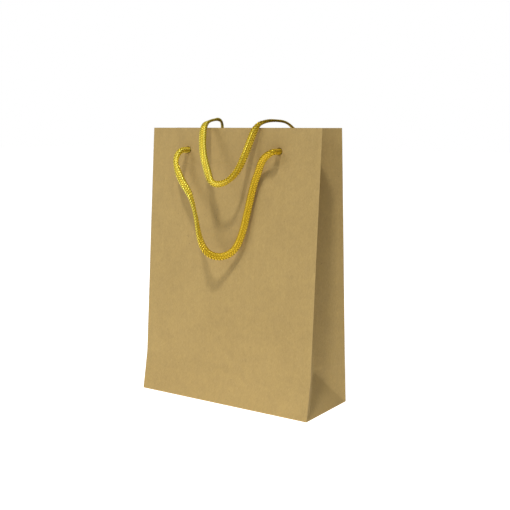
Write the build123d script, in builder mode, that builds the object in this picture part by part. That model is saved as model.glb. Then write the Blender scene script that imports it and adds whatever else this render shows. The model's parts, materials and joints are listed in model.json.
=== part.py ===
"""Kraft paper gift bag with two braided cord handles.

The bag stands on its base: origin at the middle of the base, front wall towards -Y,
width along X, depth along Y, mouth at the top. All sizes are in millimetres.
"""
import os
from math import pi, radians, sqrt, tan

from build123d import *

os.makedirs("parts", exist_ok=True)

# Bag
width = 155.0
depth = 60.0
height = 210.0
mouth_gap = 29.0  # between the walls' outer faces at the top
front_lean = 19.0  # how far the front wall's top edge leans in over the base
front_strip_lean = 5.5  # the same for the lower strips, up to the flat-fold crease
back_strip_lean = 1.7
paper = 0.3
crease_gap = 0.6  # left between two panels that share a crease

# Turned-in top edge and its reinforcement
hem_height = 28.0
hem_card = 0.5
hem_side_clearance = 4.0
gusset_hem_inset = 2.0

# Base
flap_overlap = 20.0
base_board = 0.8
board_clearance = 1.2
seam_tab_width = 12.0
seam_tab_inset = 3.0

# Cord handles
cord_diameter = 5.0
hole_clearance = 0.3
hole_spacing = 84.0
hole_drop = 17.0  # from the top edge down to the holes' centres
stub_reach = 1.0  # from the wall to the end of the cord's straight stretch
knot_radius = 4.8
knot_clearance = 0.2
knot_tail = 8.0

half_width = width / 2
half_depth = depth / 2
crease_height = depth / 2
back_lean = depth - mouth_gap - front_lean
cord_radius = cord_diameter / 2
hole_height = height - hole_drop
hem_layers = 2 * paper + hem_card

# Wall lines in the YZ plane, on the outer face: (y, z) at the foot, the crease and the top
front_foot = Vector(-half_depth, 0)
front_crease = Vector(-half_depth + front_strip_lean, crease_height)
front_top = Vector(-half_depth + front_lean, height)
back_foot = Vector(half_depth, 0)
back_crease = Vector(half_depth - back_strip_lean, crease_height)
back_top = Vector(half_depth - back_lean, height)


def wall_y(crease, top, z):
    """Outer face of a wall at height z, on its upper panel."""
    return crease.X + (top.X - crease.X) * (z - crease.Y) / (top.Y - crease.Y)


front_hole_y = wall_y(front_crease, front_top, hole_height)
back_hole_y = wall_y(back_crease, back_top, hole_height)


def save(piece, label):
    """Names the finished piece and writes it."""
    piece.part.label = label
    export_step(piece.part, f"parts/{label}.step")


def wall_points(foot, top, inward, start, stop, outer, inner):
    """Section of a layer of wall between two distances up it and two depths into it."""
    up = (top - foot).normalized()
    across = Vector(up.Y, -up.X) * inward
    return [
        foot + up * start + across * outer,
        foot + up * stop + across * outer,
        foot + up * stop + across * inner,
        foot + up * start + across * inner,
    ]


def wall_layer(sections, x_low, x_high):
    """Extrudes one or more wall sections along X."""
    with BuildPart() as layer:
        with BuildSketch(Plane.YZ.offset(x_low)):
            for section in sections:
                with BuildLine():
                    Polyline(*[(p.X, p.Y) for p in section], close=True)
                make_face()
        extrude(amount=x_high - x_low)
    return layer


def cord_holes(wall, wall_at):
    """The wall with its two cord holes cut through all its layers."""
    with BuildPart() as holed:
        add(wall.part)
        with BuildSketch(Plane.XZ.offset(-wall_at)):
            with Locations((-hole_spacing / 2, hole_height), (hole_spacing / 2, hole_height)):
                Circle(cord_radius + hole_clearance)
        extrude(amount=half_depth / 2, both=True, mode=Mode.SUBTRACT)
    return holed


# Front and back walls: a lower strip below the crease, the panel above it, the card
# that stiffens the mouth and the hem that folds over the card
for side, foot, crease, top, inward, hole_y in (
    ("front", front_foot, front_crease, front_top, 1, front_hole_y),
    ("back", back_foot, back_crease, back_top, -1, back_hole_y),
):
    strip_length = (crease - foot).length
    panel_length = (top - crease).length
    hem_start = panel_length - hem_height

    strip = wall_points(foot, crease, inward, 0, strip_length - crease_gap / 2, 0, paper)
    save(wall_layer([strip], -half_width, half_width), f"{side}_base_strip")

    panel = wall_points(crease, top, inward, crease_gap / 2, panel_length, 0, paper)
    panel_part = wall_layer([panel], -half_width, half_width)
    save(cord_holes(panel_part, hole_y), f"{side}_panel")

    hem_half = half_width - hem_side_clearance
    card = wall_points(
        crease, top, inward, hem_start + paper, panel_length - paper, paper, paper + hem_card
    )
    save(cord_holes(wall_layer([card], -hem_half, hem_half), hole_y), f"{side}_hem_card")

    lining = wall_points(
        crease, top, inward, hem_start, panel_length - paper, paper + hem_card, hem_layers
    )
    fold = wall_points(
        crease, top, inward, panel_length - paper, panel_length, paper, hem_layers
    )
    hem_part = wall_layer([lining, fold], -hem_half, hem_half)
    save(cord_holes(hem_part, hole_y), f"{side}_hem")

# Glued seam: the sheet's end strip, inside the back wall at its left edge
tab_top = (back_top - back_crease).length - hem_height - crease_gap
tab = wall_points(back_crease, back_top, -1, crease_gap, tab_top, paper, 2 * paper)
tab_left = -half_width + seam_tab_inset
save(wall_layer([tab], tab_left, tab_left + seam_tab_width), "seam_tab")


def tuck(z):
    """How far in a gusset's centre crease lies where its halves keep their paper's width."""
    gap = wall_y(back_crease, back_top, z) - wall_y(front_crease, front_top, z)
    return sqrt(half_depth**2 - (gap / 2) ** 2)


def gusset_line(z, side_x, front):
    """Outer line of one gusset half at height z, from the bag's corner to the centre crease.

    The crease runs straight from the flat-fold crease to the mouth.
    """
    front_at = wall_y(front_crease, front_top, z)
    back_at = wall_y(back_crease, back_top, z)
    share = (z - crease_height) / (height - crease_height)
    tuck_in = tuck(crease_height) * (1 - share) + tuck(height) * share
    corner = Vector(side_x * half_width, front_at if front else back_at)
    return corner, Vector(side_x * (half_width - tuck_in), (front_at + back_at) / 2)


def gusset_layer(z_low, z_high, side_x, front, start, outer, inner):
    """One layer of a gusset half, lofted between its sections at two heights."""
    with BuildPart() as layer:
        for z in (z_low, z_high):
            corner, centre = gusset_line(z, side_x, front)
            along = (centre - corner).normalized()
            across = Vector(-along.Y, along.X) * (side_x if front else -side_x)
            near = corner + along * start
            far = centre - along * crease_gap
            section = [
                near + across * outer,
                far + across * outer,
                far + across * inner,
                near + across * inner,
            ]
            with BuildSketch(Plane.XY.offset(z)):
                with BuildLine():
                    Polyline(*[(p.X, p.Y) for p in section], close=True)
                make_face()
        loft(ruled=True)
    return layer


def triangle_panel(corners, inside):
    """A flat triangle of paper, drawn in from its creases, with its thickness inside."""
    first, second, third = corners
    normal = (second - first).cross(third - first).normalized()
    if normal.dot(inside - first) < 0:
        normal = normal * -1
    plane = Plane(origin=first, x_dir=second - first, z_dir=normal)
    flat = [plane.to_local_coords(corner) for corner in corners]
    with BuildPart() as panel:
        with BuildSketch(plane):
            with BuildLine():
                Polyline(*[(p.X, p.Y) for p in flat], close=True)
            make_face()
            offset(amount=-crease_gap, kind=Kind.INTERSECTION, mode=Mode.REPLACE)
        extrude(amount=paper)
    return panel


# Side gussets: two upper halves with their hems, and below the crease one triangle on
# the base edge with a smaller one at each corner
for side, side_x in (("left", -1), ("right", 1)):
    for half, front in (("front", True), ("rear", False)):
        sheet = gusset_layer(
            crease_height + crease_gap / 2, height, side_x, front, 2 * crease_gap, 0, paper
        )
        save(sheet, f"{side}_gusset_{half}")
        hem = gusset_layer(
            height - hem_height, height, side_x, front, gusset_hem_inset, paper, 2 * paper
        )
        save(hem, f"{side}_gusset_{half}_hem")

    _, crease_point = gusset_line(crease_height, side_x, True)
    apex = Vector(crease_point.X, crease_point.Y, crease_height)
    base_front = Vector(side_x * half_width, -half_depth, 0)
    base_back = Vector(side_x * half_width, half_depth, 0)
    strip_front = Vector(side_x * half_width, front_crease.X, crease_height)
    strip_back = Vector(side_x * half_width, back_crease.X, crease_height)
    inside = Vector(0, 0, crease_height / 2)
    save(triangle_panel([base_front, base_back, apex], inside), f"{side}_gusset_base")
    save(triangle_panel([base_front, strip_front, apex], inside), f"{side}_corner_front")
    save(triangle_panel([base_back, strip_back, apex], inside), f"{side}_corner_rear")


def base_layer(points, bottom, thickness):
    """A flat piece of the base with its lower face at the given height."""
    with BuildPart() as layer:
        with BuildSketch(Plane.XY.offset(bottom)):
            with BuildLine():
                Polyline(*points, close=True)
            make_face()
        extrude(amount=thickness)
    return layer


# Base: the back flap lies lowest, then the front flap, then the two side flaps, and the
# loose board rests on them
flap_x = half_width - paper - crease_gap
flap_y = half_depth - paper - crease_gap
flap_reach = half_depth + flap_overlap / 2
flap_tip_x = flap_x - flap_reach
flap_tip_y = flap_reach - half_depth
for side, sign, bottom in (("back", 1, 0.0), ("front", -1, paper)):
    outline = [
        (-flap_x, sign * flap_y),
        (flap_x, sign * flap_y),
        (flap_tip_x, -sign * flap_tip_y),
        (-flap_tip_x, -sign * flap_tip_y),
    ]
    save(base_layer(outline, bottom, paper), f"base_flap_{side}")

side_flap_y = flap_y - 2 * crease_gap
side_flap_x = flap_x - 2 * crease_gap
for side, side_x in (("left", -1), ("right", 1)):
    outline = [
        (side_x * side_flap_x, -side_flap_y),
        (side_x * side_flap_x, side_flap_y),
        (side_x * (side_flap_x - half_depth), 0),
    ]
    save(base_layer(outline, 2 * paper, paper), f"base_flap_{side}")

board_x = half_width - board_clearance - paper
board_y = half_depth - board_clearance - paper
board_outline = [
    (-board_x, -board_y),
    (board_x, -board_y),
    (board_x, board_y),
    (-board_x, board_y),
]
save(base_layer(board_outline, 3 * paper, base_board), "base_board")


def knot(side_x, hole_y, outward):
    """A knot inside the wall, its tail, and the cord straight out through the hole."""
    x = side_x * hole_spacing / 2
    centre_y = hole_y - outward * (hem_layers + knot_clearance + knot_radius)
    reach = abs(hole_y + outward * stub_reach - centre_y)
    with BuildPart() as piece:
        with Locations((x, centre_y, hole_height)):
            Sphere(knot_radius)
        with BuildSketch(Plane.XZ.offset(-centre_y)):
            with Locations((x, hole_height)):
                Circle(cord_radius)
        extrude(amount=-outward * reach)
        with BuildSketch(Plane.XY.offset(hole_height)):
            with Locations((x, centre_y)):
                Circle(cord_radius * 0.9)
        extrude(amount=-(knot_radius + knot_tail))
    return piece


def bend_radii(route):
    """Radius of the arc at each inner point of a route, as large as its runs allow."""
    radii = []
    for before, at, after in zip(route, route[1:], route[2:]):
        shorter = min((at - before).length, (after - at).length)
        turn = radians((at - before).get_angle(after - at))
        radii.append(0.45 * shorter / tan(turn / 2))
    return radii


def cord_tube(route, first, last):
    """The cord's tube between the middles of two of the route's runs.

    A run is named by the index of the point it starts from, and the route's own first
    and last runs are taken whole.
    """
    radii = bend_radii(route)
    start = route[0] if first == 0 else (route[first] + route[first + 1]) / 2
    end = route[-1] if last == len(route) - 2 else (route[last] + route[last + 1]) / 2
    inner = route[first + 1 : last + 1]
    with BuildPart() as tube:
        with BuildLine() as path:
            FilletPolyline(start, *inner, end, radius=radii[first:last])
        with BuildSketch(Plane(origin=path.line @ 0, z_dir=path.line % 0)):
            Circle(cord_radius)
        sweep()
    length = path.wires()[0].length
    section = pi * cord_radius**2
    print(
        f"  length {length:.1f}, volume {tube.part.volume:.0f},"
        f" section x length {section * length:.0f}"
    )
    return tube


hole_x = hole_spacing / 2
front_stub_y = front_hole_y - stub_reach
back_stub_y = back_hole_y + stub_reach

# Front handle: out of the left hole, down in front of the wall and back to the right hole
front_route = [
    Vector(-hole_x, front_stub_y, hole_height),
    Vector(-hole_x, front_stub_y - 9.3, hole_height),
    Vector(-46.5, -23.5, 184.5),
    Vector(-40.0, -24.0, 170.5),
    Vector(-29.0, -26.5, 160.0),
    Vector(-21.5, -29.5, 144.0),
    Vector(-16.0, -32.5, 127.0),
    Vector(-6.5, -36.5, 117.0),
    Vector(5.0, -34.5, 114.5),
    Vector(15.5, -31.5, 120.0),
    Vector(21.5, -29.5, 134.0),
    Vector(24.0, -26.5, 151.0),
    Vector(27.5, -24.0, 169.5),
    Vector(30.5, -22.5, 178.5),
    Vector(34.0, -22.5, 188.0),
    Vector(hole_x, front_stub_y - 9.3, hole_height),
    Vector(hole_x, front_stub_y, hole_height),
]

# Rear handle: out of the left hole behind the back wall, up over its edge, across the
# mouth, over the front edge and down in front, then the same way back to the right hole
rear_route = [
    Vector(-hole_x, back_stub_y, hole_height),
    Vector(-hole_x, back_stub_y + 9.3, hole_height),
    Vector(-38.5, 27.5, 201.5),
    Vector(-34.0, 22.5, 209.5),
    Vector(-30.5, 16.5, 215.5),
    Vector(-26.5, 4.5, 216.5),
    Vector(-24.5, -6.0, 215.5),
    Vector(-23.0, -16.0, 212.0),
    Vector(-21.5, -20.0, 200.5),
    Vector(-17.5, -24.5, 189.0),
    Vector(-10.0, -29.5, 177.5),
    Vector(-4.0, -33.0, 168.5),
    Vector(9.0, -35.5, 169.5),
    Vector(16.0, -29.0, 177.5),
    Vector(19.5, -24.0, 190.0),
    Vector(22.0, -20.0, 201.5),
    Vector(24.0, -15.5, 211.5),
    Vector(26.0, -6.0, 215.0),
    Vector(28.0, 5.5, 215.5),
    Vector(29.5, 17.5, 214.5),
    Vector(32.5, 24.0, 209.0),
    Vector(38.5, 28.5, 202.0),
    Vector(hole_x, back_stub_y + 9.3, hole_height),
    Vector(hole_x, back_stub_y, hole_height),
]

for side, side_x in (("left", -1), ("right", 1)):
    save(knot(side_x, front_hole_y, -1), f"front_knot_{side}")
    save(knot(side_x, back_hole_y, 1), f"rear_knot_{side}")

front_last = len(front_route) - 2
rear_last = len(rear_route) - 2
for label, route, first, last in (
    ("front_cord_bend_left", front_route, 0, 1),
    ("front_handle", front_route, 1, front_last - 2),
    ("front_cord_bend_right", front_route, front_last - 2, front_last),
    ("rear_riser_left", rear_route, 0, 2),
    ("rear_bridge_left", rear_route, 2, 7),
    ("rear_handle", rear_route, 7, rear_last - 7),
    ("rear_bridge_right", rear_route, rear_last - 7, rear_last - 2),
    ("rear_riser_right", rear_route, rear_last - 2, rear_last),
):
    print(label)
    save(cord_tube(route, first, last), label)

for label, route in (("front", front_route), ("rear", rear_route)):
    print(f"{label} handle, radii in cord diameters:", end=" ")
    print(*[f"{radius / cord_diameter:.1f}" for radius in bend_radii(route)])
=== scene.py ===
"""Kraft paper gift bag with two braided cord handles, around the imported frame. In metres."""
import json
from math import cos, pi, radians, sin, tau

import bpy
import numpy as np
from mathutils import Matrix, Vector


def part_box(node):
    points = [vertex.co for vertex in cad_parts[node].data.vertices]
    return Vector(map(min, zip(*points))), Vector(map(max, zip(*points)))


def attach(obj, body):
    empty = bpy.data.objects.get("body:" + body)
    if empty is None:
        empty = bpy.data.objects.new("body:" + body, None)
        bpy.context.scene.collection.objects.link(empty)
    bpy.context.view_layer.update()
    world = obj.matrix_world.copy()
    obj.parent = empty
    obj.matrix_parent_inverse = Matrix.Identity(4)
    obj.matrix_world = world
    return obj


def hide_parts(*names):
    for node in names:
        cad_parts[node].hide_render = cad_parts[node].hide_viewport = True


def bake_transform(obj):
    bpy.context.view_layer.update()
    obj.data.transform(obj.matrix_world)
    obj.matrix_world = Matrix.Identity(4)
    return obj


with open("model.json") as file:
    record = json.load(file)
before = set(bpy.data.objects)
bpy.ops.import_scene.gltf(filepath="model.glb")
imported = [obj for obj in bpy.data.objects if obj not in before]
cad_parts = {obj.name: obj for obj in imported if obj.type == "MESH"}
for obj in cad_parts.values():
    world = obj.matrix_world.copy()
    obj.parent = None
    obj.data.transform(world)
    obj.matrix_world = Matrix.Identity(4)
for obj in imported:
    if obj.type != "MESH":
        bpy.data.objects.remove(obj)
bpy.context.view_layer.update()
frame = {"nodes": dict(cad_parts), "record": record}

MM = 0.001


# ---------------------------------------------------------------- camera
def add_camera():
    """The camera at the photograph's viewing angle."""
    data = bpy.data.cameras.new("camera")
    data.lens = 62.56
    data.sensor_width = 36.0
    camera = bpy.data.objects.new("camera", data)
    place = Vector((0.3899, -0.5592, 0.2125))
    aim = Vector((0.01257, 0.0, 0.11317))
    camera.location = place
    camera.rotation_euler = (aim - place).to_track_quat("-Z", "Y").to_euler()
    bpy.context.scene.collection.objects.link(camera)
    bpy.context.scene.camera = camera


add_camera()

# ---------------------------------------------------------------- cords
# The routes' points in millimetres; the first and last lie inside the walls, at the knots
FRONT_ROUTE = [
    (-42.0, -9.0, 193.0),
    (-42.0, -13.275, 193.0),
    (-42.0, -22.575, 193.0),
    (-45.9, -24.4, 184.7),
    (-38.0, -27.0, 171.0),
    (-27.4, -28.9, 160.4),
    (-20.2, -31.5, 144.4),
    (-14.9, -34.1, 127.3),
    (-6.5, -36.5, 117.0),
    (1.1, -28.8, 113.5),
    (10.3, -23.8, 118.6),
    (16.5, -22.1, 132.7),
    (19.4, -19.7, 149.8),
    (23.6, -18.3, 168.5),
    (27.4, -17.9, 177.7),
    (32.1, -19.6, 187.5),
    (42.0, -22.575, 193.0),
    (42.0, -13.275, 193.0),
    (42.0, -9.0, 193.0),
]
REAR_ROUTE = [
    (-42.0, 15.7, 193.0),
    (-42.0, 19.973, 193.0),
    (-42.0, 29.273, 193.0),
    (-38.5, 27.5, 201.5),
    (-34.0, 22.5, 209.5),
    (-30.5, 16.5, 215.5),
    (-26.5, 4.5, 216.5),
    (-24.5, -6.0, 215.5),
    (-19.7, -20.9, 212.9),
    (-17.0, -26.7, 201.7),
    (-13.1, -31.1, 190.2),
    (-7.0, -34.0, 178.3),
    (-2.3, -35.5, 169.0),
    (8.2, -34.3, 169.3),
    (14.6, -27.0, 177.1),
    (17.5, -21.0, 189.5),
    (20.1, -17.2, 201.0),
    (24.0, -15.5, 211.5),
    (26.0, -6.0, 215.0),
    (28.0, 5.5, 215.5),
    (29.5, 17.5, 214.5),
    (32.5, 24.0, 209.0),
    (38.5, 28.5, 202.0),
    (42.0, 29.273, 193.0),
    (42.0, 19.973, 193.0),
    (42.0, 15.7, 193.0),
]
CORD_WIDTH = 5.8 * MM
CORD_THICKNESS = 3.0 * MM
BRIDGE_THICKNESS = 2.1 * MM
STATION = 0.34 * MM  # between two rings of a braid's strands
EDGE_CROSSING_Y = -11.5 * MM  # where the rear cord passes over the front wall's edge


def spline_points(name, route):
    """Points along the smooth NURBS spline of a route, evenly spaced by length."""
    data = bpy.data.curves.new(name, "CURVE")
    data.dimensions = "3D"
    data.resolution_u = 24
    spline = data.splines.new("NURBS")
    spline.points.add(len(route) - 1)
    for point, place in zip(spline.points, route):
        point.co = (*(value * MM for value in place), 1.0)
    spline.order_u = 3
    spline.use_endpoint_u = True
    curve = bpy.data.objects.new(name, data)
    bpy.context.scene.collection.objects.link(curve)
    bpy.context.view_layer.update()
    mesh = bpy.data.meshes.new_from_object(curve)
    line = np.array([vertex.co for vertex in mesh.vertices])
    bpy.data.objects.remove(curve)
    bpy.data.curves.remove(data)
    bpy.data.meshes.remove(mesh)
    along = lengths_along(line)
    count = int(along[-1] / STATION) + 1
    steps = np.linspace(0, along[-1], count)
    return np.stack([np.interp(steps, along, line[:, axis]) for axis in range(3)], axis=1)


def lengths_along(line):
    """Distance of each point of a line from its start."""
    return np.concatenate([[0], np.cumsum(np.linalg.norm(np.diff(line, axis=0), axis=1))])


def unit(vectors):
    """The vectors at length 1."""
    return vectors / np.maximum(np.linalg.norm(vectors, axis=-1, keepdims=True), 1e-12)


def side_vectors(line):
    """Tangents, and a direction across the line that turns with it and doesn't spin."""
    tangents = unit(np.gradient(line, axis=0))
    across = np.empty_like(line)
    across[0] = unit(np.cross(tangents[0], (0.0, 0.0, 1.0)))
    for i in range(1, len(line)):
        carried = across[i - 1] - tangents[i] * np.dot(across[i - 1], tangents[i])
        across[i] = unit(carried)
    return tangents, across


def new_mesh(name, vertices, faces, material):
    """A smooth-shaded mesh object with one material."""
    mesh = bpy.data.meshes.new(name)
    mesh.from_pydata(vertices.tolist(), [], faces)
    mesh.validate()
    mesh.update()
    mesh.shade_smooth()
    mesh.materials.append(material)
    piece = bpy.data.objects.new(name, mesh)
    bpy.context.scene.collection.objects.link(piece)
    return piece


def ellipse_turn(fractions, half_wide, half_thick):
    """Angle round an ellipse at each share of its perimeter."""
    turn = np.linspace(0, tau, 181)
    outline = np.stack([half_wide * np.cos(turn), half_thick * np.sin(turn)], axis=1)
    share = lengths_along(outline)
    return np.interp(np.mod(fractions, 1.0), share / share[-1], turn)


def tube_points(centre, first_axis, second_axis, ring):
    """Rings of points round a line, from the two half-axes of an ellipse at each of its points."""
    angles = [tau * k / ring for k in range(ring)]
    rings = [centre + first_axis * cos(angle) + second_axis * sin(angle) for angle in angles]
    return np.stack(rings, axis=1).reshape(-1, 3)


def add_tube(faces, uvs, first, rows, ring, across):
    """Adds a closed tube's faces and their UVs, which run on by "across" from point to point."""
    for i in range(rows - 1):
        for k in range(ring):
            a = first + i * ring + k
            b = first + i * ring + (k + 1) % ring
            faces.append((a, b, b + ring, a + ring))
            here, beyond = k * across, (k + 1) * across
            uvs.append((here, i, beyond, i, beyond, i + 1, here, i + 1))
    last = first + (rows - 1) * ring
    faces.append(tuple(first + k for k in reversed(range(ring))))
    faces.append(tuple(last + k for k in range(ring)))
    uvs.extend([(0,) * (2 * ring)] * 2)


def braid(name, line, rolls, widths, material, low=0, high=None):
    """A flattened braid of 6 + 6 strands over a core, along a line or a stretch of it.

    rolls and widths are lists of (share of the line, degrees) and (share, width, thickness);
    low and high are the stretch's first and last points.
    """
    carriers = 6  # strands that wind each way
    lay_length = 12.0 * MM
    strand_wide = 1.6 * MM
    strand_thick = 0.62 * MM
    lift = 0.38 * MM  # how far a strand rises over two others and dips under the next two
    crossing = pi / 4  # puts each crossing midway between a strand's crest and its middle level
    back_strand_shade = 0.74  # painted shade: how bright the strands that wind back are painted against the others
    ring = 6  # points round a strand
    core_ring = 14  # points round the core
    core_step = 3  # the core's rings against the strands'

    along = lengths_along(line)
    share = along / along[-1]
    tangents, across = side_vectors(line)
    normal = np.cross(tangents, across)
    roll = np.radians(np.interp(share, [r[0] for r in rolls], [r[1] for r in rolls]))
    wide_axis = across * np.cos(roll)[:, None] + normal * np.sin(roll)[:, None]
    thick_axis = np.cross(tangents, wide_axis)
    skin = lift + strand_thick / 2
    stops = [w[0] for w in widths]
    half_wide = np.interp(share, stops, [w[1] / 2 for w in widths]) - skin
    half_thick = np.interp(share, stops, [w[2] / 2 for w in widths]) - skin

    ratio = float(np.median(half_thick / half_wide))
    stretch = slice(low, None if high is None else high + 1)
    line, along = line[stretch], along[stretch]
    wide_axis, thick_axis = wide_axis[stretch], thick_axis[stretch]
    half_wide, half_thick = half_wide[stretch], half_thick[stretch]
    count = len(line)
    vertices = []
    crests = []
    faces = []
    uvs = []
    for direction in (1, -1):
        for carrier in range(carriers):
            fraction = carrier / carriers + direction * along / lay_length
            turn = ellipse_turn(fraction, 1.0, ratio)
            weave = direction * lift * np.cos(pi * carriers * fraction + crossing)
            outward = unit(
                wide_axis * (half_thick * np.cos(turn))[:, None]
                + thick_axis * (half_wide * np.sin(turn))[:, None]
            )
            centre = (
                line
                + wide_axis * (half_wide * np.cos(turn))[:, None]
                + thick_axis * (half_thick * np.sin(turn))[:, None]
                + outward * weave[:, None]
            )
            run = unit(np.gradient(centre, axis=0))
            flat = unit(np.cross(run, outward))
            up = np.cross(flat, run)
            add_tube(faces, uvs, len(vertices) * count * ring, count, ring, across=1)
            vertices.append(tube_points(centre, flat * strand_wide / 2, up * strand_thick / 2, ring))
            # Painted highlight and shade: the colour value follows each strand's rise and dip in the
            # weave, and is lower for the strands that wind back
            strand_light = 1.0 if direction > 0 else back_strand_shade
            crests.append(np.repeat((0.5 + weave / lift / 2) * strand_light, ring))

    chosen = np.append(np.arange(0, count - 1, core_step), count - 1)
    add_tube(faces, uvs, len(vertices) * count * ring, len(chosen), core_ring, across=0)
    wide_half = (wide_axis * half_wide[:, None])[chosen]
    thick_half = (thick_axis * half_thick[:, None])[chosen]
    vertices.append(tube_points(line[chosen], wide_half, thick_half, core_ring))
    crests.append(np.zeros(len(vertices[-1])))

    piece = new_mesh(name, np.concatenate(vertices), faces, material)
    layer = piece.data.uv_layers.new(name="strand")
    flat_uvs = np.concatenate([np.array(u, float).reshape(-1, 2) for u in uvs])
    flat_uvs[:, 0] /= ring
    flat_uvs[:, 1] *= STATION / MM
    layer.data.foreach_set("uv", flat_uvs.astype(np.float32).ravel())
    # This value drives painted highlights on the weave's crests and painted shade in its dips
    crest = piece.data.attributes.new("crest", "FLOAT", "POINT")
    crest.data.foreach_set("value", np.concatenate(crests).astype(np.float32))
    return piece


# ---------------------------------------------------------------- materials
def add_node(tree, kind, **inputs):
    """A shader node with its properties and unlinked or linked inputs set."""
    node = tree.nodes.new(kind)
    for key, value in inputs.items():
        name = key.replace("_", " ")
        if name in node.inputs:
            if isinstance(value, bpy.types.NodeSocket):
                tree.links.new(value, node.inputs[name])
            else:
                node.inputs[name].default_value = value
        else:
            setattr(node, key, value)
    return node


def scaled(tree, source, factors):
    """Coordinates multiplied by three factors."""
    return add_node(tree, "ShaderNodeMapping", Vector=source, Scale=factors).outputs[0]


def turned(tree, source, degrees, factors):
    """Coordinates turned about Y, for paper that runs up a wall, then scaled."""
    return add_node(
        tree,
        "ShaderNodeMapping",
        vector_type="TEXTURE",
        Vector=source,
        Rotation=(0.0, radians(degrees), 0.0),
        Scale=tuple(1 / factor for factor in factors),
    ).outputs[0]


def noise(tree, vector, scale, detail=2.0, roughness=0.5):
    """A noise value about 0.5."""
    node = add_node(
        tree,
        "ShaderNodeTexNoise",
        Vector=vector,
        Scale=scale,
        Detail=detail,
        Roughness=roughness,
    )
    return node.outputs[0]


def calc(tree, operation, first, second=0.0, clamp=False):
    """A maths node on two values."""
    node = tree.nodes.new("ShaderNodeMath")
    node.operation = operation
    node.use_clamp = clamp
    for socket, value in zip(node.inputs, (first, second)):
        if isinstance(value, bpy.types.NodeSocket):
            tree.links.new(value, socket)
        else:
            socket.default_value = value
    return node.outputs[0]


def weighted_sum(tree, *terms):
    """The sum of values, each times its weight."""
    total = None
    for value, weight in terms:
        part = calc(tree, "MULTIPLY", value, weight)
        total = part if total is None else calc(tree, "ADD", total, part)
    return total


def spread(tree, value, low, high, out_low=0.0, out_high=1.0):
    """The value's range from low to high, spread smoothly over another range."""
    return add_node(
        tree,
        "ShaderNodeMapRange",
        interpolation_type="SMOOTHSTEP",
        Value=value,
        From_Min=low,
        From_Max=high,
        To_Min=out_low,
        To_Max=out_high,
    ).outputs[0]


def blend_colour(tree, factor, first, second):
    """A mix of two colours."""
    node = tree.nodes.new("ShaderNodeMix")
    node.data_type = "RGBA"
    sockets = (node.inputs["Factor"], node.inputs[6], node.inputs[7])
    for socket, value in zip(sockets, (factor, first, second)):
        if isinstance(value, bpy.types.NodeSocket):
            tree.links.new(value, socket)
        else:
            socket.default_value = value
    return node.outputs[2]


def split_first(tree, vector):
    """The first number of a vector."""
    return add_node(tree, "ShaderNodeSeparateXYZ", Vector=vector).outputs[0]


def start_material(name):
    """A new material, its tree, its surface shader and its object coordinates."""
    material = bpy.data.materials.new(name)
    material.use_nodes = True
    tree = material.node_tree
    shader = tree.nodes["Principled BSDF"]
    place = tree.nodes.new("ShaderNodeTexCoord").outputs["Object"]
    return material, tree, shader, place


def add_relief(tree, shader, height, strength, depth):
    """Bumps on a surface from a height value."""
    bump = add_node(tree, "ShaderNodeBump", Height=height, Strength=strength, Distance=depth)
    tree.links.new(bump.outputs[0], shader.inputs["Normal"])


def attribute(tree, name):
    """A number stored on the mesh's points."""
    return add_node(tree, "ShaderNodeAttribute", attribute_name=name).outputs["Fac"]


# Colours as linear red, green and blue, then opacity
KRAFT_DARK = (0.345, 0.231, 0.078, 1)
KRAFT_PALE = (0.545, 0.381, 0.139, 1)
KRAFT_FLECK = (0.16, 0.10, 0.045, 1)
KRAFT_HAIR = (0.66, 0.51, 0.25, 1)
KRAFT_RUBBED = (0.64, 0.48, 0.22, 1)
BOARD_DARK = (0.20, 0.165, 0.115, 1)
BOARD_PALE = (0.42, 0.355, 0.255, 1)
BOARD_BIT = (0.10, 0.08, 0.06, 1)
YARN_DARK = (0.72, 0.46, 0.005, 1)
YARN_PALE = (1.0, 0.72, 0.018, 1)
YARN_UNEVEN = (0.78, 0.50, 0.012, 1)
YARN_GLINT = (1.0, 0.86, 0.12, 1)
YARN_RIGHT_SHADE = (0.72, 0.42, 0.002, 1)
YARN_VALLEY_SHADE = (0.08, 0.032, 0.001, 1)
YARN_GLOSS = (1.0, 0.86, 0.4, 1)


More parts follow.
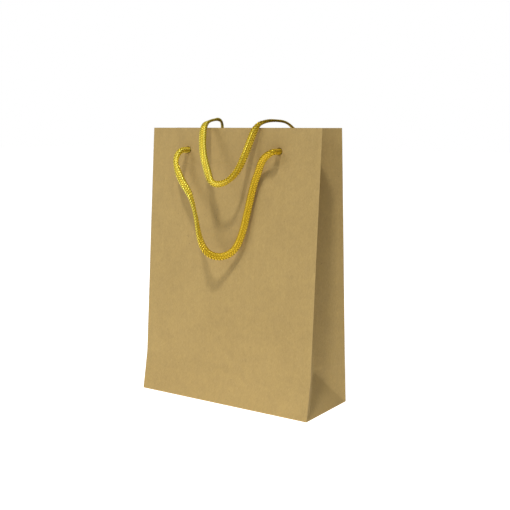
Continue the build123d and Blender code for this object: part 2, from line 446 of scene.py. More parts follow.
def kraft_material():
    """Uncoated brown kraft: fine fibres, faint machine lines, flecks and worn folds."""
    material, tree, shader, place = start_material("kraft_paper")
    grain = noise(tree, place, 2300.0, 3.0, 0.65)
    fibres = noise(tree, turned(tree, place, 9, (1.0, 1.0, 0.22)), 1500.0, 2.0, 0.6)
    cross_fibres = noise(tree, turned(tree, place, 52, (0.9, 0.9, 0.25)), 1300.0, 2.0, 0.6)
    other_fibres = noise(tree, turned(tree, place, -38, (1.0, 1.0, 0.25)), 1100.0, 2.0, 0.6)
    machine_lines = noise(tree, scaled(tree, place, (1.0, 1.0, 0.004)), 420.0, 2.0, 0.5)
    formation = noise(tree, place, 150.0, 4.0, 0.6)
    blotches = noise(tree, place, 22.0, 3.0, 0.5)
    shade = calc(tree, "MULTIPLY", calc(tree, "SUBTRACT", grain, 0.5), 0.45)
    for value, weight in (
        (fibres, 0.5),
        (cross_fibres, 0.35),
        (other_fibres, 0.35),
        (machine_lines, 0.16),
        (formation, 0.5),
        (blotches, 0.4),
    ):
        part = calc(tree, "MULTIPLY", calc(tree, "SUBTRACT", value, 0.5), weight)
        shade = calc(tree, "ADD", shade, part)
    shade = calc(tree, "ADD", shade, 0.5, clamp=True)
    colour = blend_colour(tree, shade, KRAFT_DARK, KRAFT_PALE)

    flecks = add_node(tree, "ShaderNodeTexVoronoi", Vector=place, Scale=230.0)
    fleck_spots = spread(tree, flecks.outputs["Distance"], 0.05, 0.12, 1.0, 0.0)
    fleck_choice = spread(tree, noise(tree, place, 95.0, 1.0), 0.6, 0.68)
    fleck = calc(tree, "MULTIPLY", fleck_spots, fleck_choice)
    fleck = calc(tree, "MULTIPLY", fleck, 0.55)
    colour = blend_colour(tree, fleck, colour, KRAFT_FLECK)

    hairs = noise(tree, scaled(tree, place, (1.0, 1.0, 0.3)), 1500.0, 1.0)
    pale_hairs = calc(tree, "MULTIPLY", spread(tree, hairs, 0.66, 0.76), 0.16)
    colour = blend_colour(tree, pale_hairs, colour, KRAFT_HAIR)

    fold = attribute(tree, "fold")
    rubbed = calc(tree, "MULTIPLY", fold, spread(tree, formation, 0.3, 0.62, 0.25, 1.0))
    rubbed = calc(tree, "MULTIPLY", rubbed, 0.14)
    colour = blend_colour(tree, rubbed, colour, KRAFT_RUBBED)
    tree.links.new(colour, shader.inputs["Base Color"])

    roughness = spread(tree, formation, 0.25, 0.75, 0.66, 0.82)
    roughness = calc(tree, "ADD", roughness, calc(tree, "MULTIPLY", fold, 0.08), clamp=True)
    tree.links.new(roughness, shader.inputs["Roughness"])
    shader.inputs["Specular IOR Level"].default_value = 0.38

    heights = ((fibres, 0.9), (grain, 1.0), (cross_fibres, 0.7), (machine_lines, 0.8), (formation, 1.2))
    add_relief(tree, shader, weighted_sum(tree, *heights), 0.5, 0.06 * MM)
    return material


def board_material():
    """Uncoated grey-brown board made from pulped paper, with pale and dark bits."""
    material, tree, shader, place = start_material("greyboard")
    pulp = noise(tree, place, 420.0, 4.0, 0.65)
    clouds = noise(tree, place, 60.0, 3.0)
    shade = weighted_sum(tree, (pulp, 0.7), (clouds, 0.3))
    colour = blend_colour(tree, shade, BOARD_DARK, BOARD_PALE)
    bits = add_node(tree, "ShaderNodeTexVoronoi", Vector=place, Scale=480.0)
    dark = spread(tree, bits.outputs["Distance"], 0.06, 0.14, 0.6, 0.0)
    colour = blend_colour(tree, dark, colour, BOARD_BIT)
    tree.links.new(colour, shader.inputs["Base Color"])
    tree.links.new(spread(tree, pulp, 0.2, 0.8, 0.8, 0.95), shader.inputs["Roughness"])
    add_relief(tree, shader, pulp, 0.6, 0.1 * MM)
    return material


def cord_material():
    """Shiny golden-yellow yarn with filaments along each strand; painted shade between strands, in the
    weave's dips and to the lower right, and painted highlights on the weave's crests.
    """
    material, tree, shader, place = start_material("gold_cord")
    strand = tree.nodes.new("ShaderNodeUVMap")
    strand.uv_map = "strand"
    filaments = noise(tree, scaled(tree, strand.outputs[0], (26.0, 1.1, 1.0)), 1.0, 2.0)
    slubs = noise(tree, place, 330.0, 2.0)
    dye = noise(tree, place, 40.0, 2.0)
    shade = spread(tree, weighted_sum(tree, (filaments, 0.6), (slubs, 0.4)), 0.3, 0.7)
    colour = blend_colour(tree, shade, YARN_DARK, YARN_PALE)
    colour = blend_colour(tree, calc(tree, "MULTIPLY", dye, 0.3), colour, YARN_UNEVEN)
    # Painted highlight: the weave's crests are painted pale gold as glints
    crest = attribute(tree, "crest")
    glint = calc(tree, "MULTIPLY", spread(tree, crest, 0.5, 0.9), 0.9)
    colour = blend_colour(tree, glint, colour, YARN_GLINT)

    # Painted shade: the yarn is painted a darker, more orange gold to the right and lower down,
    # standing in for how light falls on it
    x, _, z = add_node(tree, "ShaderNodeSeparateXYZ", Vector=place).outputs
    lowered = calc(tree, "MULTIPLY", calc(tree, "SUBTRACT", 150 * MM, z), 0.5)
    right_side_shade = spread(tree, calc(tree, "ADD", x, lowered), -24 * MM, 14 * MM)
    right_side_shade = calc(tree, "MULTIPLY", right_side_shade, 0.75)
    colour = blend_colour(tree, right_side_shade, colour, YARN_RIGHT_SHADE)

    # Painted shade: the strands' sides and the weave's dips are painted near black
    turn = calc(tree, "MULTIPLY", split_first(tree, strand.outputs[0]), tau)
    flank_shade = spread(tree, calc(tree, "SINE", turn), 0.0, 0.9, 0.92, 0.0)
    valley_shade = calc(tree, "MAXIMUM", flank_shade, spread(tree, crest, 0.2, 0.6, 0.9, 0.0))
    colour = blend_colour(tree, valley_shade, colour, YARN_VALLEY_SHADE)
    tree.links.new(colour, shader.inputs["Base Color"])
    tree.links.new(spread(tree, filaments, 0.3, 0.7, 0.18, 0.34), shader.inputs["Roughness"])
    shader.inputs["Specular IOR Level"].default_value = 0.6
    shader.inputs["Specular Tint"].default_value = YARN_GLOSS
    shader.inputs["Metallic"].default_value = 0.3
    add_relief(tree, shader, filaments, 0.7, 0.08 * MM)
    return material


kraft = kraft_material()
greyboard = board_material()
gold = cord_material()
node_materials = {"kraft_paper": kraft, "greyboard": greyboard, "gold_cord": gold}
for part in frame["record"]["subparts"]:
    slots = frame["nodes"][part["node"]].data.materials
    slots.clear()
    slots.append(node_materials[part["material_slot"]])

# ---------------------------------------------------------------- cord pieces
HOLE_SIZE = 4.7 * MM  # the cord's width where a hole squeezes it round

# How far the flat cord is twisted at each share of its length, in degrees
FRONT_ROLLS = [
    (0.0, -40), (0.075, -12), (0.11, 0), (0.15, -28), (0.2, -46), (0.225, -66),
    (0.25, -98), (0.3, -128), (0.35, -118), (0.4, -92), (0.45, -50), (0.55, -30),
    (0.6, -34), (0.8, -33), (0.9, -42), (1.0, -45),
]
REAR_ROLLS = [
    (0.0, 87), (0.1, 135), (0.15, 171), (0.2, 232), (0.25, 250), (0.3, 245),
    (0.35, 227), (0.45, 226), (0.5, 292), (0.54, 320), (0.6, 289), (0.65, 270),
    (0.7, 285), (0.74, 350), (0.8, 388), (0.85, 406), (1.0, 410),
]


def squeezed(total):
    """Widths along a cord that is round at its holes and flattens outside them."""
    round_until = 9 * MM / total
    flat_from = 22 * MM / total
    return [
        (0.0, HOLE_SIZE, HOLE_SIZE),
        (round_until, HOLE_SIZE, HOLE_SIZE),
        (flat_from, CORD_WIDTH, CORD_THICKNESS),
        (1 - flat_from, CORD_WIDTH, CORD_THICKNESS),
        (1 - round_until, HOLE_SIZE, HOLE_SIZE),
        (1.0, HOLE_SIZE, HOLE_SIZE),
    ]


front_line = spline_points("front_route", FRONT_ROUTE)
front_cord = braid(
    "front_handle_cord",
    front_line,
    FRONT_ROLLS,
    squeezed(lengths_along(front_line)[-1]),
    gold,
)
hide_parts("front_handle", "front_cord_bend_left", "front_cord_bend_right")
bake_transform(front_cord)

rear_line = spline_points("rear_route", REAR_ROUTE)
outside = np.flatnonzero(rear_line[:, 1] < EDGE_CROSSING_Y)
first_out, last_out = int(outside[0]), int(outside[-1])
rear_widths = squeezed(lengths_along(rear_line)[-1])
# The bridges, pulled over the mouth, are flatter than the loop
rear_widths[3:3] = [
    (0.16, CORD_WIDTH, BRIDGE_THICKNESS),
    (0.26, CORD_WIDTH, BRIDGE_THICKNESS),
    (0.32, CORD_WIDTH, CORD_THICKNESS),
    (0.68, CORD_WIDTH, CORD_THICKNESS),
    (0.75, CORD_WIDTH, BRIDGE_THICKNESS),
    (0.88, CORD_WIDTH, BRIDGE_THICKNESS),
]
rear_stretches = {
    "rear_cord_left": (0, first_out),
    "rear_handle_cord": (first_out, last_out),
    "rear_cord_right": (last_out, len(rear_line) - 1),
}
rear_pieces = {}
for name, (low, high) in rear_stretches.items():
    rear_pieces[name] = braid(name, rear_line, REAR_ROLLS, rear_widths, gold, low, high)

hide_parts("rear_handle")
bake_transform(rear_pieces["rear_handle_cord"])
for side in ("left", "right"):
    piece = rear_pieces[f"rear_cord_{side}"]
    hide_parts(f"rear_riser_{side}", f"rear_bridge_{side}")
    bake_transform(piece)


# ---------------------------------------------------------------- knots
KNOT_TURN = 2.9025 * MM  # size of an overhand knot's loops
KNOT_FLATNESS = 0.55  # depth of the loops against their width
KNOT_STEPS = 12
KNOT_SIZE = 3.3 * MM  # the cord pulled tight in its knot


def add_knot(name, body):
    """An overhand knot with its tail hanging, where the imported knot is."""
    low, high = (Vector(corner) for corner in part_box(name))
    x = (low.x + high.x) / 2
    outward = -1 if name.startswith("front") else 1
    radius = (high.x - low.x) / 2
    inner_y = high.y if outward < 0 else low.y
    centre = Vector((x, inner_y + outward * radius, high.z - radius))
    route = [centre + Vector((0, outward * ahead * MM, 0)) for ahead in (4.6, 3.0)]
    for step in range(1, KNOT_STEPS):
        t = tau * step / KNOT_STEPS - pi / 2
        along_x = (sin(t) + 2 * sin(2 * t)) / 3
        along_z = (cos(t) - 2 * cos(2 * t)) / 3
        along_y = -sin(3 * t) * KNOT_FLATNESS * outward
        route.append(centre + Vector((along_x, along_y, along_z)) * KNOT_TURN)
    tail = ((0.6, 0.0, -5.5), (0.2, 0.3, -9.0), (0.0, 0.2, -12.3))
    route += [centre + Vector(point) * MM for point in tail]
    line = spline_points(name, [tuple(point / MM) for point in route])
    rolls = [(0.0, 0), (0.5, 120), (1.0, 240)]
    widths = [(0.0, HOLE_SIZE, HOLE_SIZE), (0.12, KNOT_SIZE, KNOT_SIZE)]
    widths += [(0.8, KNOT_SIZE, KNOT_SIZE), (0.9, 4.4 * MM, KNOT_SIZE), (1.0, 4.8 * MM, 2.9 * MM)]
    piece = braid(name + "_cord", line, rolls, widths, gold)
    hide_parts(name)
    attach(piece, body)


for side in ("left", "right"):
    add_knot(f"front_knot_{side}", "bag")
    add_knot(f"rear_knot_{side}", "back_wall")

# ---------------------------------------------------------------- the folded sheet
# Sizes in millimetres; those of the panels are read from the frame
WIDTH = 2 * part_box("front_panel")[1][0] / MM
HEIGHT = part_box("front_panel")[1][2] / MM
DEPTH = 2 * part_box("back_base_strip")[1][1] / MM
CREASE = DEPTH / 2  # height of the flat-fold crease
PAPER = 0.3  # thickness of the kraft paper
CARD = 0.5  # thickness of the hem cards
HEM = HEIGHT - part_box("front_hem")[0][2] / MM
FRONT_CREASE_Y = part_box("front_panel")[0][1] / MM
FRONT_TOP_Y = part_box("front_panel")[1][1] / MM - PAPER
BACK_CREASE_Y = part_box("back_panel")[1][1] / MM
BACK_TOP_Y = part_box("back_panel")[0][1] / MM + PAPER
HOLE_Z = 193.0
HOLE_X = 42.0
HOLE_RADIUS = 2.85
FOLD_RADIUS = 0.8  # of the disc that rounds a sharp fold
SOFT_FOLD_RADIUS = 3.2  # of the disc that rounds the soft creases low in the gussets
GIRTH = 2 * (WIDTH + DEPTH)

# Distances round the sheet, from the front wall's left fold
RIGHT_FOLD = WIDTH
BACK_RIGHT = WIDTH + DEPTH
BACK_LEFT = 2 * WIDTH + DEPTH
CORNERS = (0, RIGHT_FOLD, BACK_RIGHT, BACK_LEFT, GIRTH)

BOTTOM_RETURN = 0.8  # how far the sheet turns in under the bag
RUBBED_WIDTH = 0.9  # how far from a fold its wear reaches
INNER_WEAR = 0.5  # wear of a fold's inner face against its outer face
LAYER_GAP = 0.01  # between glued layers, so that no two faces coincide
HEM_RIDGE = 0.16  # how far the hem's edge shows through the wall
HOLE_REACH = 7.2  # half the side of the square of finer grid round a cord hole
HOLE_STEPS = 16
HOLE_SQUARE = 3 * 2 * HOLE_REACH / HOLE_STEPS  # half the side of the grid's square that is the hole


def mix(first, second, share):
    """A straight-line blend of two values."""
    return first + (second - first) * share


def smooth_step(value, low, high):
    """0 below low, 1 above high, smooth between."""
    share = np.clip((value - low) / (high - low), 0, 1)
    return share * share * (3 - 2 * share)


def corner_distance(s):
    """Distance round the sheet to the nearest of its four upright folds."""
    return np.min([np.abs(s - at) for at in CORNERS], axis=0)


def by_part(s, front, right, back, left):
    """A value for each part of the sheet: the front wall, right gusset, back wall, left gusset."""
    return np.select([s <= RIGHT_FOLD, s < BACK_RIGHT, s <= BACK_LEFT], [front, right, back], left)


def wall_lines(v):
    """The front and back walls' depths at height v."""
    low = np.clip(v, 0, CREASE) / CREASE
    up = np.maximum(v - CREASE, 0) / (HEIGHT - CREASE)
    front = mix(-DEPTH / 2, FRONT_CREASE_Y, low) + (FRONT_TOP_Y - FRONT_CREASE_Y) * up
    back = mix(DEPTH / 2, BACK_CREASE_Y, low) + (BACK_TOP_Y - BACK_CREASE_Y) * up
    return front, back


def tuck_depth(v):
    """How far in the gussets' centre crease lies at height v, above the flat-fold crease."""
    ends = []
    for height in (CREASE, HEIGHT):
        front, back = wall_lines(np.array(float(height)))
        ends.append(np.sqrt((DEPTH / 2) ** 2 - ((back - front) / 2) ** 2))
    return mix(ends[0], ends[1], (v - CREASE) / (HEIGHT - CREASE))


def gusset_point(q, v):
    """Right gusset at distance q from its front fold and height v: x and y."""
    front, back = wall_lines(v)
    half = WIDTH / 2
    upper_v = np.maximum(v, CREASE)
    upper_front, upper_back = wall_lines(upper_v)
    share = 1 - np.abs(q - DEPTH / 2) / (DEPTH / 2)
    middle = (upper_front + upper_back) / 2
    upper_x = half - tuck_depth(upper_v) * share
    upper_y = mix(np.where(q < DEPTH / 2, upper_front, upper_back), middle, share)

    rise = np.clip(v, 1e-6, CREASE)
    apex_x = half - tuck_depth(CREASE)
    apex_front, apex_back = wall_lines(np.array(float(CREASE)))
    apex_y = (apex_front + apex_back) / 2
    line_x = mix(half, apex_x, rise / CREASE)
    line_front = mix(-DEPTH / 2, apex_y, rise / CREASE)
    line_back = mix(DEPTH / 2, apex_y, rise / CREASE)
    near = np.minimum(q, DEPTH - q)
    corner_share = np.clip(near / rise, 0, 1)
    corner_x = mix(half, line_x, corner_share)
    corner_y = np.where(
        q < DEPTH / 2, mix(front, line_front, corner_share), mix(back, line_back, corner_share)
    )
    span = np.maximum(DEPTH - 2 * rise, 1e-6)
    base_y = mix(line_front, line_back, np.clip((q - rise) / span, 0, 1))
    in_corner = near < rise
    lower_x = np.where(in_corner, corner_x, line_x)
    lower_y = np.where(in_corner, corner_y, base_y)
    above = v >= CREASE
    return np.where(above, upper_x, lower_x), np.where(above, upper_y, lower_y)


def sharp_point(s, v):
    """The folded sheet with sharp folds, at distance s round it and height v."""
    s = np.mod(s, GIRTH)
    front, back = wall_lines(v)
    half = WIDTH / 2
    right_x, right_y = gusset_point(s - RIGHT_FOLD, v)
    left_x, left_y = gusset_point(GIRTH - s, v)
    x = by_part(s, s - half, right_x, half - (s - BACK_RIGHT), -left_x)
    y = by_part(s, front, right_y, back, left_y)
    inset = np.maximum(-v, 0)
    x = np.clip(x, -half + inset, half - inset)
    y = np.clip(y, -DEPTH / 2 + inset, DEPTH / 2 - inset)
    return np.stack([x, y, np.maximum(v, 0)], axis=-1)


def fold_radius(s, v):
    """Size of the disc that rounds a fold: wider at the soft creases low in the gussets."""
    s = np.mod(s, GIRTH)
    corner = corner_distance(s)
    in_gusset = ((s > RIGHT_FOLD) & (s < BACK_RIGHT)) | (s > BACK_LEFT)
    away_from_corner = smooth_step(corner, 0.8, 8.0)
    low_down = smooth_step(v, 1.0, 5.0) * (1 - smooth_step(v, CREASE + 4, CREASE + 45))
    return mix(FOLD_RADIUS, SOFT_FOLD_RADIUS, in_gusset * away_from_corner * low_down)


def soft_point(s, v):
    """The folded sheet with rounded folds: the mean over a small disc of the sheet."""
    total = sharp_point(s, v)
    disc = fold_radius(s, v)
    count = 1
    for radius, samples in ((0.4, 6), (0.75, 8), (1.0, 10)):
        for k in range(samples):
            angle = tau * (k + 0.5) / samples
            reach = radius * disc
            total = total + sharp_point(s + reach * cos(angle), v + reach * sin(angle))
            count += 1
    return total / count


def waves(point):
    """How far the paper stands out from its flat panels: a slow, slight waviness."""
    x, y, z = point[..., 0], point[..., 1], point[..., 2]
    out = np.zeros_like(x)
    lengths_and_heights = ((150, 0.22), (83, 0.14), (47, 0.08), (29, 0.045))
    for k, (length, height) in enumerate(lengths_and_heights):
        turn = 2.4 * k + 0.7
        argument = (x * cos(turn) + z * sin(turn) + 0.8 * y) * tau / length + 1.9 * k
        out = out + height * np.sin(argument)
    return out


def panel_bulge(s, v):
    """The front and back walls' slight outward bow, none at their folds."""
    s = np.mod(s, GIRTH)
    across = by_part(s, s / WIDTH, 0 * s, (s - BACK_RIGHT) / WIDTH, 0 * s)
    up = np.clip(v / HEIGHT, 0, 1)
    bow = 0.7
    return bow * np.sin(pi * across) * np.sin(pi * up) ** 0.8


def fold_distance(s, v):
    """Distance on the sheet to the nearest fold or free edge, front crease left out."""
    s = np.mod(s, GIRTH)
    folds = [corner_distance(s), np.abs(v), np.abs(HEIGHT - v)]
    in_right = (s > RIGHT_FOLD) & (s < BACK_RIGHT)
    in_left = s > BACK_LEFT
    in_gusset = in_right | in_left
    q = np.where(in_right, s - RIGHT_FOLD, GIRTH - s)
    far = 1e3
    upper = in_gusset & (v > CREASE)
    folds.append(np.where(upper, np.abs(q - DEPTH / 2), far))
    folds.append(np.where(in_gusset | (s > BACK_RIGHT), np.abs(v - CREASE), far))
    lower = in_gusset & (v <= CREASE)
    for diagonal in (q - v, DEPTH - q - v):
        folds.append(np.where(lower, np.abs(diagonal) / np.sqrt(2), far))
    return np.min(folds, axis=0)


def hem_depth(s):
    """The turned-in hem's added thickness round the mouth: none close to the corners."""
    s = np.mod(s, GIRTH)
    corner = corner_distance(s)
    on_wall = (s <= RIGHT_FOLD) | ((s >= BACK_RIGHT) & (s <= BACK_LEFT))
    wall = mix(0.0, PAPER + CARD, smooth_step(corner, 3.3, 4.6))
    gusset = mix(0.0, PAPER, smooth_step(corner, 1.7, 2.6))
    return np.where(on_wall, wall, gusset)


def mouth_rounding(s, v):
    """How far both faces draw in towards the mouth's rounded top fold."""
    radius = (PAPER + hem_depth(s)) / 2
    rise = np.clip(v - (HEIGHT - radius), 0, radius - 1e-3)
    return radius - np.sqrt(np.maximum(radius**2 - rise**2, 0))


def outer_offset(s, v):
    """Distance in from the folded sheet's outer face to the visible outer face."""
    ridge = HEM_RIDGE * smooth_step(v, HEIGHT - HEM - 0.7, HEIGHT - HEM + 0.5)
    return mouth_rounding(s, v) - ridge * hem_depth(s) / (PAPER + CARD)


def inner_offset(s, v):
    """Distance in from the folded sheet's outer face to its inner face or hem."""
    hem_face = PAPER + hem_depth(s) - mouth_rounding(s, v)
    return np.where(v > HEIGHT - HEM, hem_face, PAPER)


def near_fold_steps(length, coarse):
    """Distances from 0 to length: close together at both ends and coarse between."""
    ends = [0.0, 0.15, 0.3, 0.5, 0.8, 1.2, 1.7, 2.3, 3.3, 3.9, 4.6]
    ends = [value for value in ends if value < length / 2]
    start = ends[-1]
    count = max(1, round((length - 2 * start) / coarse))
    middle = np.linspace(start, length - start, count + 1)[1:-1]
    return ends + list(middle) + [length - value for value in reversed(ends)]


def with_hole_steps(values, holes):
    """The values with even steps round each hole's centre."""
    clear = HOLE_REACH + 0.6
    kept = [value for value in values if all(abs(value - hole) > clear for hole in holes)]
    for hole in holes:
        kept += list(np.linspace(hole - HOLE_REACH, hole + HOLE_REACH, HOLE_STEPS + 1))
    return sorted(kept)


half_gusset = near_fold_steps(DEPTH / 2, 1.0)
gusset_steps = half_gusset + [DEPTH / 2 + value for value in half_gusset[1:]]
front_holes = [WIDTH / 2 - HOLE_X, WIDTH / 2 + HOLE_X]
holes_round = front_holes + [BACK_RIGHT + at for at in front_holes]
wall_steps = with_hole_steps(near_fold_steps(WIDTH, 3.4), front_holes)
columns = np.array(
    wall_steps[:-1]
    + [RIGHT_FOLD + value for value in gusset_steps[:-1]]
    + [BACK_RIGHT + value for value in wall_steps[:-1]]
    + [BACK_LEFT + value for value in gusset_steps[:-1]]
)
hem_line = HEIGHT - HEM
top_rows = [HEIGHT - value for value in (2.2, 1.5, 1.1, 0.8, 0.55, 0.42, 0.3, 0.2, 0.1, 0.03, 0.0)]
upper_rows = [CREASE + value for value in (0.15, 0.3, 0.5, 0.8, 1.2, 1.9, 3.0, 5.0)]
upper_rows += list(np.arange(CREASE + 8.0, hem_line - 3.0, 3.6))
upper_rows += [hem_line + value for value in (-1.4, -0.8, -0.3, -0.03, 0.03, 0.4, 0.9, 1.6, 2.6)]
hem_rows = with_hole_steps([hem_line + 3.6, HEIGHT - 6.0, HEIGHT - 3.8], [HOLE_Z])
rows = np.array(
    [-BOTTOM_RETURN, -0.5, -0.25, -0.1] + half_gusset + upper_rows + hem_rows + top_rows
)


def warp_round_holes(s, v):
    """Moves the grid round each cord hole so that one of its squares becomes the hole's edge."""
    for hole in holes_round:
        across, up = s - hole, v - HOLE_Z
        square = np.maximum(np.abs(across), np.abs(up))
        distance = np.maximum(np.hypot(across, up), 1e-9)
        share = np.clip((square - HOLE_SQUARE) / (HOLE_REACH - HOLE_SQUARE), 0, 1)
        inside = square < HOLE_REACH
        ring_s = across / distance * HOLE_RADIUS
        ring_v = up / distance * HOLE_RADIUS
        s = np.where(inside, hole + mix(ring_s, across, share), s)
        v = np.where(inside, HOLE_Z + mix(ring_v, up, share), v)
    return s, v


grid_s, grid_v = np.meshgrid(columns, rows)
grid_s, grid_v = warp_round_holes(grid_s, grid_v)


def surface(s, v):
    """The sheet's outer face and its outward normal, in millimetres."""
    step = 0.25
    fade = 12.0  # how far from a fold or the foot the waves reach their full height
    base = soft_point(s, v)
    run = soft_point(s + step, v) - soft_point(s - step, v)
    rise = soft_point(s, v + step) - soft_point(s, v - step)
    outward = unit(np.cross(run, rise))
    swell = waves(base) * smooth_step(v, 0.0, fade) + panel_bulge(s, v)
    calm = smooth_step(fold_distance(s, v), 0.0, fade)
    return base + outward * (swell * mix(0.25, 1.0, calm))[..., None], outward


faces_at, outward_at = surface(grid_s, grid_v)
fold_at = np.exp(-((fold_distance(grid_s, grid_v) / RUBBED_WIDTH) ** 2))
ROW_COUNT, COLUMN_COUNT = grid_s.shape


def cell_centres():
    """Distance round and height of the middle of each cell of the sheet's grid."""
    across = np.append(columns, GIRTH)
    middle_s = (across[1:] + across[:-1]) / 2
    middle_v = (rows[1:] + rows[:-1]) / 2
    return np.meshgrid(middle_s, middle_v)


cell_s, cell_v = cell_centres()


def hole_cells():
    """Cells of the grid that lie inside a cord hole."""
    inside = np.zeros(cell_s.shape, bool)
    for hole in holes_round:
        square = np.maximum(np.abs(cell_s - hole), np.abs(cell_v - HOLE_Z))
        inside |= square < HOLE_SQUARE
    return inside


def split_cell(a, b, c, d, s, v):
    """One grid cell as a quad, or below the crease of a gusset as two triangles along its fold."""
    if v > CREASE:
        return [(a, b, c, d)]
    for low, high in ((RIGHT_FOLD, BACK_RIGHT), (BACK_LEFT, GIRTH)):
        if low < s < high:
            if s - low < DEPTH / 2:
                return [(a, b, c), (a, c, d)]
            return [(a, b, d), (b, c, d)]
    return [(a, b, c, d)]


def paper_layer(chosen, outer, inner):
    """Points, faces and fold values of a closed layer over the chosen cells of the sheet."""
    sides = []
    for offset in (outer, inner):
        depth = offset(grid_s, grid_v)
        sides.append((faces_at - outward_at * depth[..., None]).reshape(-1, 3) * MM)
    faces = []
    edges = {}
    shift = ROW_COUNT * COLUMN_COUNT
    for j, i in zip(*np.nonzero(chosen & ~hole_cells())):
        a, b = j * COLUMN_COUNT + i, j * COLUMN_COUNT + (i + 1) % COLUMN_COUNT
        c, d = b + COLUMN_COUNT, a + COLUMN_COUNT
        faces += split_cell(a, b, c, d, cell_s[j, i], cell_v[j, i])
        for edge in ((a, b), (b, c), (c, d), (d, a)):
            if edges.pop((edge[1], edge[0]), None) is None:
                edges[edge] = True
    faces += [tuple(index + shift for index in reversed(face)) for face in faces]
    faces += [(b, a, a + shift, b + shift) for a, b in edges]
    used = np.unique(np.concatenate([np.array(face) for face in faces]))
    renumber = np.full(2 * shift, -1)
    renumber[used] = np.arange(len(used))
    faces = [tuple(int(renumber[index]) for index in face) for face in faces]
    folds = np.concatenate([fold_at.ravel(), INNER_WEAR * fold_at.ravel()])[used]
    return np.concatenate(sides)[used], faces, folds


def paper_piece(name, layers, material):
    """A piece of the bag made of one or more layers (chosen cells, outer, inner)."""
    points, faces, folds = [], [], []
    for chosen, outer, inner in layers:
        layer_points, layer_faces, layer_folds = paper_layer(chosen, outer, inner)
        first = sum(len(group) for group in points)
        points.append(layer_points)
        folds.append(layer_folds)
        faces += [tuple(index + first for index in face) for face in layer_faces]
    piece = new_mesh(name, np.concatenate(points), faces, material)
    piece.data.set_sharp_from_angle(angle=radians(50))
    fold = piece.data.attributes.new("fold", "FLOAT", "POINT")
    fold.data.foreach_set("value", np.concatenate(folds).astype(np.float32))
    return piece


OVERLAP = 2.4  # how far a wall's piece reaches round its folds into the gussets
on_front = (cell_s < RIGHT_FOLD + OVERLAP) | (cell_s > GIRTH - OVERLAP)
on_back = (cell_s > BACK_RIGHT) & (cell_s < BACK_LEFT)
above_crease = cell_v > CREASE


def constant(depth):
    """An offset that is the same all over the sheet."""
    return lambda s, v: np.full_like(s, depth)


def follow_mouth(piece):
    """Bakes the piece's placement into its mesh."""
    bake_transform(piece)


sheet_layer = (outer_offset, inner_offset)
front_sheet = paper_piece("front_wall_sheet", [(on_front, *sheet_layer)], kraft)
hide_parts("front_panel", "front_base_strip", "front_hem")
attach(front_sheet, "bag")

near_back = (cell_s > BACK_RIGHT - OVERLAP) & (cell_s < BACK_LEFT + OVERLAP)
back_sheet = paper_piece(
    "back_wall_sheet", [(near_back & above_crease, *sheet_layer)], kraft
)
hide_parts("back_panel", "back_hem")
follow_mouth(back_sheet)

LIP = 2.3  # how far a gusset's inner lip laps below its crease
lip_rows = (cell_v < CREASE) & (cell_v > CREASE - LIP)
for side, low, high in (("right", RIGHT_FOLD, BACK_RIGHT), ("left", BACK_LEFT, GIRTH)):
    between = (cell_s > low + OVERLAP) & (cell_s < high - OVERLAP)
    gusset = paper_piece(
        f"{side}_gusset_sheet",
        [
            (between & above_crease, *sheet_layer),
            (between & lip_rows, constant(PAPER + 2 * LAYER_GAP), constant(2 * PAPER)),
        ],
        kraft,
    )
    replaced = [
        f"{side}_gusset_{half}{layer}" for half in ("front", "rear") for layer in ("", "_hem")
    ]
    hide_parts(*replaced)
    follow_mouth(gusset)

    # The front wall's piece already reaches round the fold beside it
    corner_from = low + OVERLAP if side == "right" else low
    corner_to = high - OVERLAP if side == "left" else high
    corner = (cell_s > corner_from) & (cell_s < corner_to)
    foot = paper_piece(
        f"{side}_gusset_foot", [(corner & ~above_crease, *sheet_layer)], kraft
    )
    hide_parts(f"{side}_gusset_base", f"{side}_corner_front", f"{side}_corner_rear")
    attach(foot, "bag")

back_foot = paper_piece(
    "back_foot_strip", [(on_back & ~above_crease, *sheet_layer)], kraft
)
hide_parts("back_base_strip")
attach(back_foot, "bag")

tab_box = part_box("seam_tab")
tab_from = BACK_RIGHT + WIDTH / 2 - tab_box[1][0] / MM
tab_to = BACK_RIGHT + WIDTH / 2 - tab_box[0][0] / MM
tab_cells = (cell_s > tab_from) & (cell_s < tab_to)
tab_cells &= (cell_v > tab_box[0][2] / MM) & (cell_v < tab_box[1][2] / MM)
tab_layer = (tab_cells, constant(PAPER + LAYER_GAP), constant(2 * PAPER))
tab = paper_piece("seam_tab_sheet", [tab_layer], kraft)
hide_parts("seam_tab")
follow_mouth(tab)

CARD_SHOWS = 0.7  # how far a hem card shows below its hem
CARD_BELOW_TOP = 2.0  # how far below the mouth's top fold a hem card ends
for side, low in (("front", 0.0), ("back", BACK_RIGHT)):
    card_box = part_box(f"{side}_hem_card")
    inset = WIDTH / 2 - card_box[1][0] / MM
    cells = (cell_s > low + inset) & (cell_s < low + WIDTH - inset)
    cells &= (cell_v > HEIGHT - HEM - CARD_SHOWS) & (cell_v < HEIGHT - CARD_BELOW_TOP)
    card = paper_piece(
        f"{side}_hem_board",
        [(cells, constant(PAPER + LAYER_GAP), constant(PAPER + CARD))],
        greyboard,
    )
    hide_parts(f"{side}_hem_card")
    if side == "front":
        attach(card, "bag")
    else:
        follow_mouth(card)


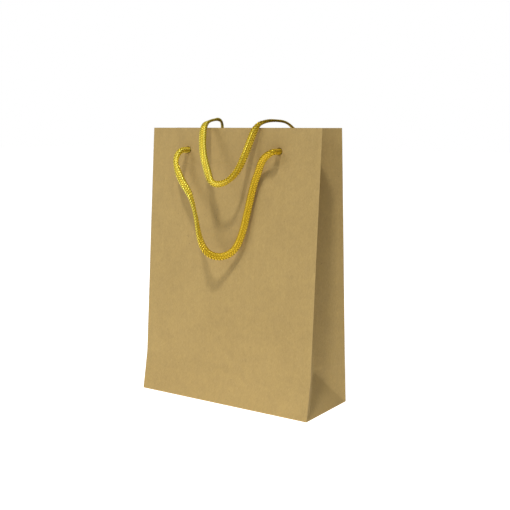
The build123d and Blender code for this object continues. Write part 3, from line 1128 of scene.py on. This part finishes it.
# ---------------------------------------------------------------- room and light
def add_floor():
    """A floor that the camera sees white, and that glows onto the bag most from close by."""
    mesh = bpy.data.meshes.new("floor")
    half = 6.0
    level = min(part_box("front_base_strip")[0][2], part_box("base_flap_back")[0][2], 0.0)
    corners = [(x * half, y * half, level) for x, y in ((-1, -1), (1, -1), (1, 1), (-1, 1))]
    mesh.from_pydata(corners, [], [(0, 1, 2, 3)])
    material = bpy.data.materials.new("floor_white")
    material.use_nodes = True
    shader = material.node_tree.nodes["Principled BSDF"]
    shader.inputs["Base Color"].default_value = (0.86, 0.86, 0.86, 1)
    shader.inputs["Roughness"].default_value = 0.9
    shader.inputs["Emission Color"].default_value = (1, 1, 1, 1)
    tree = material.node_tree
    place = tree.nodes.new("ShaderNodeTexCoord").outputs["Object"]
    reach = add_node(tree, "ShaderNodeVectorMath", operation="LENGTH")
    tree.links.new(place, reach.inputs[0])
    near = spread(tree, reach.outputs["Value"], 0.1, 0.65, 0.95, 0.25)
    seen = tree.nodes.new("ShaderNodeLightPath").outputs["Is Camera Ray"]
    glow = calc(tree, "MAXIMUM", near, seen)
    tree.links.new(glow, shader.inputs["Emission Strength"])
    mesh.materials.append(material)
    floor = bpy.data.objects.new("floor", mesh)
    bpy.context.scene.collection.objects.link(floor)


BAG_MIDDLE = (0.0, -0.02, 0.13)


def add_area_light(name, direction, distance, size, power):
    """A square studio light that shines on the bag from a direction."""
    data = bpy.data.lights.new(name, "AREA")
    data.size = size
    data.energy = power
    light = bpy.data.objects.new(name, data)
    light.location = Vector(BAG_MIDDLE) + Vector(direction).normalized() * distance
    light.rotation_euler = Vector(direction).to_track_quat("Z", "Y").to_euler()
    bpy.context.scene.collection.objects.link(light)


def add_world(strength):
    """Surroundings that the camera sees white and that light the bag faintly."""
    world = bpy.data.worlds.new("studio")
    world.use_nodes = True
    tree = world.node_tree
    lighting = tree.nodes["Background"]
    lighting.inputs["Color"].default_value = (1, 1, 1, 1)
    lighting.inputs["Strength"].default_value = strength
    seen = add_node(tree, "ShaderNodeBackground", Color=(1, 1, 1, 1), Strength=1.0)
    choice = tree.nodes.new("ShaderNodeMixShader")
    ray = tree.nodes.new("ShaderNodeLightPath")
    tree.links.new(ray.outputs["Is Camera Ray"], choice.inputs[0])
    tree.links.new(lighting.outputs[0], choice.inputs[1])
    tree.links.new(seen.outputs[0], choice.inputs[2])
    tree.links.new(choice.outputs[0], tree.nodes["World Output"].inputs["Surface"])
    bpy.context.scene.world = world


add_floor()
add_area_light("key_light", direction=(0.3, -1.0, 1.9), distance=1.6, size=0.14, power=12.4)
add_area_light("front_softbox", direction=(-0.75, -1.0, 0.75), distance=1.3, size=0.5, power=4.3)
add_world(0.1)
bpy.context.scene.view_settings.view_transform = "Standard"
